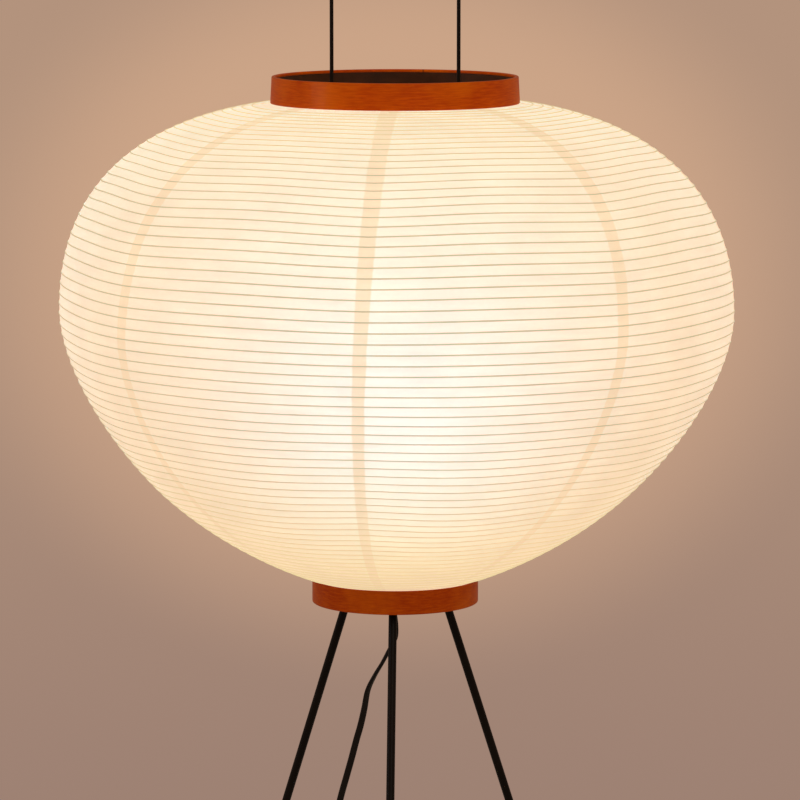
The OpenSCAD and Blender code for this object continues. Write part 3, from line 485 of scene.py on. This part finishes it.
def paper_sheet():
    """The paper as one sheet over angle and run, joined all round and open at both hoops. Between two turns
    of the rib it sinks in by 4w(1 - w) of the sag, w being the way from one turn to the next. Its points
    carry how near the rib is, their distance from a seam in half widths of its lap, and how high up the
    shade they are."""
    angles, runs, phase = sheet_runs()
    way = phase % 1.0
    sag = SAG * ease(runs / SAG_FADE) * ease((FULL - runs) / SAG_FADE)
    mesh = new_mesh("paper_shade", on_paper(angles, runs, -sag * 4 * way * (1 - way)),
                    quads(*runs.shape, closed=False).tolist())
    across, _ = panel(angles)
    r, z = (np.interp(runs, RUN, OUTLINE[:, i]) for i in (0, 1))
    to_seam = np.minimum(across, 1 - across) * math.radians(360 / PANELS) * r
    carried = {"rib": np.cos(TAU * phase), "lap": to_seam / np.interp(z, LAP_AT, LAP_HALF),
               "up": (z - LOW[1]) / (HIGH[1] - LOW[1])}
    for name, value in carried.items():
        attribute = mesh.attributes.new(name, "FLOAT", "POINT")
        attribute.data.foreach_set("value", value.reshape(-1).astype(np.float32))
    bm = bmesh.new()
    bm.from_mesh(mesh)
    bmesh.ops.remove_doubles(bm, verts=bm.verts, dist=SAME_POINT)
    bm.to_mesh(mesh)
    bm.free()
    return smooth_object(mesh)


def spiral_rib():
    """The rib: a four-sided section, rounded off towards the outside, carried round the paper as the run
    grows by one pitch each turn."""
    k = np.arange(TURNS * AROUND + 1)
    angle, run = -360 * k / AROUND, MARGIN + PITCH * k / AROUND
    section = [(0.28, 0), (-0.2, 0.5), (-0.8, 0), (-0.2, -0.5)]      # out and up, in widths
    rings = np.stack([on_paper(angle, run + RIB_W * up, RIB_OUT + RIB_W * out) for out, up in section], 1)
    first = np.arange(len(section))
    ends = [first[::-1].tolist(), (first + len(section) * (len(k) - 1)).tolist()]
    return smooth_object(new_mesh("spiral_rib", rings, quads(len(k), len(section)).tolist() + ends))


paper, rib = paper_sheet(), spiral_rib()
panels = [n for n in NODE if n.startswith("shade_paper")]
for piece, nodes, slot in ((paper, panels, "shade_paper"), (rib, ["shade_rib"], "rib_wood")):
    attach(piece, "stand")
    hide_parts(*nodes)

# ---------- finishes ----------

BULB_AT = (-0.006, 0, 0.651)       # the light through the paper is spread about this point, in metres
LAP_EDGE = (1.14, 0.86)            # a lap starts at the first share of its half width and is full at the second
LAP_SHARE = 0.92


def paper_finish():
    """Paper with the bulb behind it. It glows evenly, and a wide refracted lobe lets the bulb's own light
    through, about the line from the bulb. The even glow is less where more of the light inside comes
    through, and both are dimmer where two sheets lap and on the rib. Clouds, streaks and fibres vary them."""
    finish, g, principled, output = new_finish("handmade_paper")
    at = g.object_xyz()
    wobble = g.sway(g.noise(at, 0.018, 2), 0.35)
    lap = g.times(g.step(g.plus(g.attribute("lap"), wobble), *LAP_EDGE), LAP_SHARE)
    cloud = g.noise(at, 0.045, 3)
    streaks = g.noise(g.vector("MULTIPLY", at, (1, 1, 9)), 0.05, 2)
    fibre = g.noise(g.vector("MULTIPLY", at, (1, 1, 2.2)), 0.004, 3, 0.7)
    uneven = g.plus(g.sway(cloud, 0.16), g.plus(g.sway(streaks, 0.14), g.sway(fibre, 0.07)))
    # painted shadow of the rib: the paper's colour, glow and lobe are a tenth less on it
    rib_painted_shadow = g.math("SUBTRACT", 1.0, g.times(g.step(g.attribute("rib"), 0.45, 1.0), 0.10))
    level = g.times(g.plus(1.0, uneven), rib_painted_shadow)
    base = g.scale(g.mix(lap, srgb(172, 158, 136), srgb(164, 142, 114)), level)
    # the share of red, green and blue that the lobe lets through, more towards the top
    up = g.attribute("up")
    green = g.math("MULTIPLY_ADD", up, 0.16, g.math("MULTIPLY_ADD", g.math("POWER", up, 4.0), 0.18, 0.02))
    blue = g.math("MAXIMUM", g.math("MULTIPLY_ADD", up, 0.50, -0.02), 0.0)
    lapped = g.mix(lap, (1.0, 1.0, 1.0), (0.5, 0.32, 0.30))
    through = g.vector("MULTIPLY", g.join(0.015, green, blue), lapped)
    even = g.mix(lap, (0.755, 0.545, 0.345), (0.74, 0.545, 0.345))
    even = g.vector("SUBTRACT", even, g.vector("MULTIPLY", through, (0.0, 0.60, 0.26)))
    height = g.plus(g.times(fibre, 0.6), g.times(streaks, 0.4))
    g.fill(principled, Base_Color=base, Roughness=0.85, Specular_IOR_Level=0.25,
           Emission_Color=g.scale(even, level), Emission_Strength=1.0, Normal=g.bump(height, 0.0004, 0.5))
    away = g.vector("NORMALIZE", g.vector("SUBTRACT", at, BULB_AT))
    lobe = g.add("ShaderNodeBsdfRefraction", Roughness=0.8, IOR=2.0, Normal=away, Color=g.scale(through, level))
    both = g.add("ShaderNodeAddShader")
    for socket, shader in zip(both.inputs, (principled, lobe)):
        g.put(socket, shader.outputs[0])
    g.fill(output, Surface=both.outputs[0])
    return finish


def rib_finish():
    """Split wood in patches, lit through by the bulb, and brighter and warmer near both hoops."""
    finish, g, principled, _ = new_finish("split_rib")
    at = g.object_xyz()
    _, _, z = g.split(at)
    tone = g.noise(at, 0.02, 3)
    near_hoop = g.math("MAXIMUM", g.step(z, 0.69, 0.56), g.times(g.step(z, 0.87, 0.91), 0.6))
    lit = g.mix(tone, (0.29, 0.285, 0.17), (0.38, 0.375, 0.23))
    g.fill(principled, Base_Color=g.mix(tone, srgb(142, 126, 98), srgb(176, 160, 128)), Roughness=0.6,
           Emission_Color=g.mix(near_hoop, lit, (0.62, 0.52, 0.26)), Emission_Strength=1.0,
           Normal=g.bump(g.noise(at, 0.001, 2), 0.0002, 0.4))
    return finish


WOOD_DARK, WOOD_MID, WOOD_LIGHT = srgb(160, 50, 0), srgb(194, 78, 0), srgb(206, 96, 4)
WOOD_PORE, LAP_LINE = srgb(118, 32, 0), srgb(60, 20, 6)
LAP_TURN = 2.9                  # radians from the front to the glued lap, at the back


def wood_finish(name, tone):
    """Stained wood bent round the axis: grain, pores and blotches drawn out along the hoop, a thin gloss,
    and the glued lap where the strip's two tapered ends meet. Tone darkens or lightens it all: painted
    light and shade."""
    finish, g, principled, _ = new_finish(name)
    x, y, z = g.split(g.object_xyz())
    r = g.from_axis(x, y)
    turn = g.math("ARCTAN2", x, g.times(y, -1.0))
    along = g.times(turn, 0.08)
    grain = g.noise(g.join(along, g.times(z, 9.0), g.times(r, 2.0)), 0.012, 5, 0.65)
    pores = g.noise(g.join(g.times(along, 0.35), g.times(z, 6.0), r), 0.0022, 2, 0.6)
    blotch = g.noise(g.join(along, z, r), 0.03, 3)
    lap = g.step(g.math("ABSOLUTE", g.math("SUBTRACT", turn, LAP_TURN)), 0.006, 0.002)
    colour = g.mix(g.step(grain, 0.25, 0.8), WOOD_DARK, WOOD_MID)
    colour = g.mix(g.times(g.step(blotch, 0.35, 0.75), 0.5), colour, WOOD_LIGHT)
    colour = g.mix(g.times(g.step(pores, 0.62, 0.78), 0.3), colour, WOOD_PORE)
    colour = g.mix(g.times(lap, 0.8), colour, LAP_LINE)
    relief = g.math("SUBTRACT", g.times(pores, 0.6), lap)
    g.fill(principled, Base_Color=g.scale(colour, tone), Roughness=g.plus(0.3, g.times(grain, 0.2)),
           Specular_IOR_Level=0.02, Coat_Weight=0.07, Coat_Roughness=0.2, Normal=g.bump(relief, 0.0003, 0.35))
    return finish


def patches_and_grain():
    """Node group: soft patches and a fine grain of given sizes, the tone that they make together, and a
    normal that follows the grain."""
    group = bpy.data.node_groups.new("patches_and_grain", "ShaderNodeTree")
    g = Nodes(group)
    for name in ("Patch Size", "Grain Size", "Grain Depth", "Grain Strength"):
        group.interface.new_socket(name, in_out="INPUT", socket_type="NodeSocketFloat")
    for name, kind in (("Tone", "Float"), ("Patches", "Float"), ("Normal", "Vector")):
        group.interface.new_socket(name, in_out="OUTPUT", socket_type="NodeSocket" + kind)
    given = g.add("NodeGroupInput").outputs
    at = g.object_xyz()
    patches = g.noise(at, given["Patch Size"], 4, 0.6)
    grain = g.noise(at, given["Grain Size"], 2, 0.6)
    g.add("NodeGroupOutput", Tone=g.plus(g.times(patches, 0.7), g.times(grain, 0.3)), Patches=patches,
          Normal=g.bump(grain, given["Grain Depth"], given["Grain Strength"]))
    return group


PATCHES_AND_GRAIN = patches_and_grain()


def plain_finish(name, low, high, rough, metal=0.0, patch=0.02, grain=0.0006, depth=0.00008, strength=0.35,
                 gloss=0.5, **more):
    """Two tones in soft patches, uneven gloss and a fine grain. More gives other inputs of the shader."""
    finish, g, principled, _ = new_finish(name)
    effect = g.tree.nodes.new("ShaderNodeGroup")
    effect.node_tree = PATCHES_AND_GRAIN
    g.fill(effect, Patch_Size=patch, Grain_Size=grain, Grain_Depth=depth, Grain_Strength=strength)
    made = effect.outputs
    g.fill(principled, Base_Color=g.mix(g.step(made["Tone"], 0.3, 0.7), low, high),
           Roughness=g.plus(rough - 0.05, g.times(made["Patches"], 0.1)), Metallic=metal,
           Specular_IOR_Level=gloss, Normal=made["Normal"], **more)
    return finish


black = plain_finish("black_powder_coat", srgb(9, 4, 1), srgb(16, 9, 4), 0.46, patch=0.03, grain=0.0009,
                     depth=0.00012, strength=0.5, gloss=0.1)
# the bands are black steel; their brown colour is painted warm light from the bulb falling on them
warm_lit_black_steel = plain_finish("black_steel_painted_warm_light", srgb(34, 15, 3), srgb(50, 24, 7), 0.5, gloss=0.12)
rubber = plain_finish("foot_rubber", srgb(22, 21, 20), srgb(33, 31, 30), 0.8, patch=0.01)
zinc = plain_finish("zinc_steel", srgb(150, 150, 148), srgb(190, 190, 186), 0.34, metal=1.0, patch=0.006)
plastic = plain_finish("black_plastic", srgb(20, 19, 18), srgb(30, 28, 27), 0.38, grain=0.0004)
cord_black = plain_finish("cord_black", srgb(13, 7, 3), srgb(21, 14, 9), 0.42, patch=0.03, grain=0.0008,
                          gloss=0.15)
wire = plain_finish("wire_insulation", srgb(60, 110, 170), srgb(80, 130, 186), 0.45)
ceramic = plain_finish("holder_ceramic", srgb(226, 220, 206), srgb(238, 233, 221), 0.5, patch=0.008)
brass = plain_finish("bare_brass", srgb(176, 138, 70), srgb(208, 172, 98), 0.33, metal=1.0, patch=0.005)
opal = plain_finish("opal_glass", srgb(244, 232, 206), srgb(250, 240, 218), 0.25, Coat_Weight=0.6,
                    Coat_Roughness=0.2, Emission_Color=(1.0, 0.86, 0.66), Emission_Strength=20.0)
# the two hoops are lit and shaded copies of one wood: the upper one a little lighter, the lower one darker with
# painted shade from the paper's belly above it
lit_hoop_wood = wood_finish("stained_hoop_wood", 1.04)
shaded_hoop_wood = wood_finish("stained_hoop_wood_painted_shade", 0.8)

USES = {
    black: ["leg_front", "leg_right", "leg_left", "base_plate", "bow", "top_spider"],
    warm_lit_black_steel: ["bottom_band", "top_band"],
    rubber: ["foot_front", "foot_right", "foot_left"],
    zinc: ["bow_nuts", "stem", "stem_nuts", "shade_screws", "shade_nuts", "spider_rivets", "switch_screws",
           "bulb_cap"],
    plastic: ["cord_grip", "holder_cap", "holder_body", "rod_grips", "switch_base", "switch_cover",
              "switch_rocker", "plug_body", "bulb_contact"],
    wire: ["core_wires"],
    ceramic: ["holder_insert"],
    brass: ["holder_shell", "holder_contact", "plug_blades"],
    opal: ["bulb_glass"],
    lit_hoop_wood: ["top_hoop"],
    shaded_hoop_wood: ["bottom_hoop"],
}
for finish, nodes in USES.items():
    for n in nodes:
        NODE[n].data.materials.clear()
        NODE[n].data.materials.append(finish)
cord.data.materials.append(cord_black)
paper.data.materials.append(paper_finish())
rib.data.materials.append(rib_finish())

# the paper and its rib each get a mesh of their own
for piece in (paper, rib):
    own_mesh(piece)
